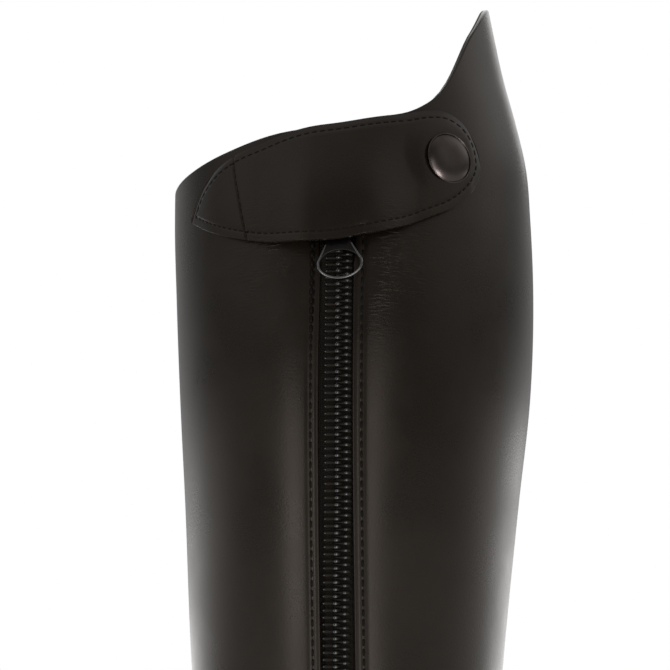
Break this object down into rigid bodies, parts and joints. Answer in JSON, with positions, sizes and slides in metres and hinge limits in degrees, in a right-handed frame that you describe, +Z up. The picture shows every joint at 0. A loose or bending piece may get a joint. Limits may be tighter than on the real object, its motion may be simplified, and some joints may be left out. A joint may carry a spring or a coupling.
{
  "type": "riding boot",
  "caption": "Tall black leather riding boot for the right foot, with a centre-back zip under a snapped leather flap, a top line that rises to a peak on the outer side, and a stacked heel.",
  "frame": {"origin": "on the floor under the middle of the heel's top piece", "axes": "+Z up along the shaft, +Y towards the toe, +X towards the outer side of the right leg; the zip is at -Y"},
  "size_m": [0.1199, 0.284, 0.5046],
  "materials": {
    "shaft_leather": "smooth black calf leather, fine grain, semi-gloss",
    "flap_leather": "smooth black calf leather, stitched edge",
    "insole_leather": "matt black lining leather",
    "welt_leather": "black waxed edge",
    "sole_leather": "black burnished edge",
    "heel_rubber": "matt black",
    "zip_cloth": "black woven tape",
    "zip_coil": "black moulded coil",
    "zip_metal": "gunmetal plated",
    "snap_metal": "dark brown gunmetal, polished"
  },
  "bodies": {
    "boot": {"upper": "shaft_leather", "zip_flap": "flap_leather", "insole": "insole_leather", "welt": "welt_leather", "outsole": "sole_leather", "heel": "sole_leather", "heel_lift": "heel_rubber", "zip_tape_outer": "zip_cloth", "zip_tape_inner": "zip_cloth", "zip_chain": "zip_coil", "zip_slider": "zip_metal", "snap_cap": "snap_metal"},
    "pull": {"zip_pull": "zip_metal"}
  },
  "joints": [
    {"name": "pull_swing", "type": "hinge", "parent": "boot", "child": "pull", "pos_m": [0.00025, -0.04302, 0.41872], "axis": [-0.9959, -0.0192, -0.0886], "range_deg": [0, 20]}
  ]
}
